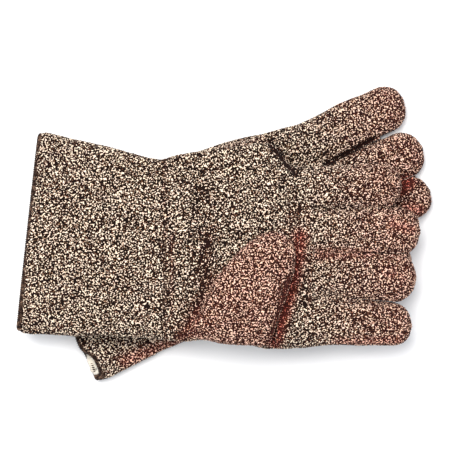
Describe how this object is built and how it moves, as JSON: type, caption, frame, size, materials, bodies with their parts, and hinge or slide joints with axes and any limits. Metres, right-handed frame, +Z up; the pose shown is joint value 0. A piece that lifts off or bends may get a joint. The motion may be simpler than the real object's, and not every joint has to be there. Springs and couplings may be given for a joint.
{
  "type": "cryogenic gloves",
  "caption": "Pair of long cryogenic gloves in heavy loop-pile cloth with lined gauntlets, lying palms up one across the other with the thumbs folded in.",
  "frame": {"origin": "middle of the pair's footprint, on the surface that the lower glove lies on", "axes": "+X from the cuffs to the fingertips of the upper glove, +Y across it from its thumb side to its little finger side, +Z up"},
  "size_m": [0.3615, 0.2539, 0.0873],
  "materials": {
    "terry_cloth": "heather brown and cream loop-pile terry",
    "lining_cloth": "off-white brushed insulating lining",
    "binding_thread": "dark brown overlocked thread"
  },
  "bodies": {
    "left_hand": {"left_hand_palm": "terry_cloth", "left_hand_back": "terry_cloth", "left_hand_lining": "lining_cloth", "left_wrist_seam_tape": "terry_cloth"},
    "left_gauntlet": {"left_gauntlet_palm": "terry_cloth", "left_gauntlet_back": "terry_cloth", "left_gauntlet_lining": "lining_cloth", "left_mouth_binding": "binding_thread"},
    "left_index": {"left_index_front": "terry_cloth", "left_index_back": "terry_cloth", "left_index_lining": "lining_cloth"},
    "left_middle": {"left_middle_front": "terry_cloth", "left_middle_back": "terry_cloth", "left_middle_lining": "lining_cloth"},
    "left_ring": {"left_ring_front": "terry_cloth", "left_ring_back": "terry_cloth", "left_ring_lining": "lining_cloth"},
    "left_little": {"left_little_front": "terry_cloth", "left_little_back": "terry_cloth", "left_little_lining": "lining_cloth"},
    "left_thumb": {"left_thumb_front": "terry_cloth", "left_thumb_back": "terry_cloth", "left_thumb_lining": "lining_cloth"},
    "right_hand": {"right_hand_palm": "terry_cloth", "right_hand_back": "terry_cloth", "right_hand_lining": "lining_cloth", "right_wrist_seam_tape": "terry_cloth"},
    "right_gauntlet": {"right_gauntlet_palm": "terry_cloth", "right_gauntlet_back": "terry_cloth", "right_gauntlet_lining": "lining_cloth", "right_mouth_binding": "binding_thread"},
    "right_index": {"right_index_front": "terry_cloth", "right_index_back": "terry_cloth", "right_index_lining": "lining_cloth"},
    "right_middle": {"right_middle_front": "terry_cloth", "right_middle_back": "terry_cloth", "right_middle_lining": "lining_cloth"},
    "right_ring": {"right_ring_front": "terry_cloth", "right_ring_back": "terry_cloth", "right_ring_lining": "lining_cloth"},
    "right_little": {"right_little_front": "terry_cloth", "right_little_back": "terry_cloth", "right_little_lining": "lining_cloth"},
    "right_thumb": {"right_thumb_front": "terry_cloth", "right_thumb_back": "terry_cloth", "right_thumb_lining": "lining_cloth"}
  },
  "joints": [
    {"name": "right_glove_lift", "type": "slide", "parent": "left_hand", "child": "right_hand", "axis": [0, 0, 1], "range_m": [0, 0.2]},
    {"name": "right_wrist_bend", "type": "hinge", "parent": "right_hand", "child": "right_gauntlet", "pos_m": [-0.05155, -0.0134, 0.0709], "axis": [0, 1, 0], "range_deg": [0, 45]},
    {"name": "right_index_curl", "type": "hinge", "parent": "right_hand", "child": "right_index", "pos_m": [0.07075, -0.0769, 0.0669], "axis": [0, -1, 0], "range_deg": [0, 85]},
    {"name": "right_middle_curl", "type": "hinge", "parent": "right_hand", "child": "right_middle", "pos_m": [0.07075, -0.0359, 0.0669], "axis": [0, -1, 0], "range_deg": [0, 85]},
    {"name": "right_ring_curl", "type": "hinge", "parent": "right_hand", "child": "right_ring", "pos_m": [0.07075, 0.0031, 0.0669], "axis": [0, -1, 0], "range_deg": [0, 85]},
    {"name": "right_little_curl", "type": "hinge", "parent": "right_hand", "child": "right_little", "pos_m": [0.07075, 0.0426, 0.0669], "axis": [0, -1, 0], "range_deg": [0, 85]},
    {"name": "right_thumb_open", "type": "hinge", "parent": "right_hand", "child": "right_thumb", "pos_m": [0.0046, -0.0974, 0.0651], "axis": [1, 0, 0], "range_deg": [0, 100]},
    {"name": "left_wrist_bend", "type": "hinge", "parent": "left_hand", "child": "left_gauntlet", "pos_m": [-0.02804, -0.00813, 0.022], "axis": [-0.2622, 0.965, 0], "range_deg": [0, 25]},
    {"name": "left_index_curl", "type": "hinge", "parent": "left_hand", "child": "left_index", "pos_m": [0.07556, 0.07702, 0.022], "axis": [0.2622, -0.965, 0], "range_deg": [0, 60]},
    {"name": "left_middle_curl", "type": "hinge", "parent": "left_hand", "child": "left_middle", "pos_m": [0.08579, 0.03938, 0.022], "axis": [0.2622, -0.965, 0], "range_deg": [0, 60]},
    {"name": "left_ring_curl", "type": "hinge", "parent": "left_hand", "child": "left_ring", "pos_m": [0.09562, 0.00319, 0.022], "axis": [0.2622, -0.965, 0], "range_deg": [0, 60]},
    {"name": "left_little_curl", "type": "hinge", "parent": "left_hand", "child": "left_little", "pos_m": [0.10519, -0.03203, 0.022], "axis": [0.2622, -0.965, 0], "range_deg": [0, 60]},
    {"name": "left_thumb_open", "type": "hinge", "parent": "left_hand", "child": "left_thumb", "pos_m": [0.00359, 0.07819, 0.0212], "axis": [-0.965, -0.2622, 0], "range_deg": [0, 75]}
  ],
  "couplings": [
    {"joint": "left_wrist_bend", "follows": "right_glove_lift", "rad_per_m": 2.181},
    {"joint": "left_index_curl", "follows": "right_glove_lift", "rad_per_m": 5.235},
    {"joint": "left_middle_curl", "follows": "right_glove_lift", "rad_per_m": 5.235},
    {"joint": "left_ring_curl", "follows": "right_glove_lift", "rad_per_m": 5.235},
    {"joint": "left_little_curl", "follows": "right_glove_lift", "rad_per_m": 5.235},
    {"joint": "left_thumb_open", "follows": "right_glove_lift", "rad_per_m": 6.544}
  ]
}
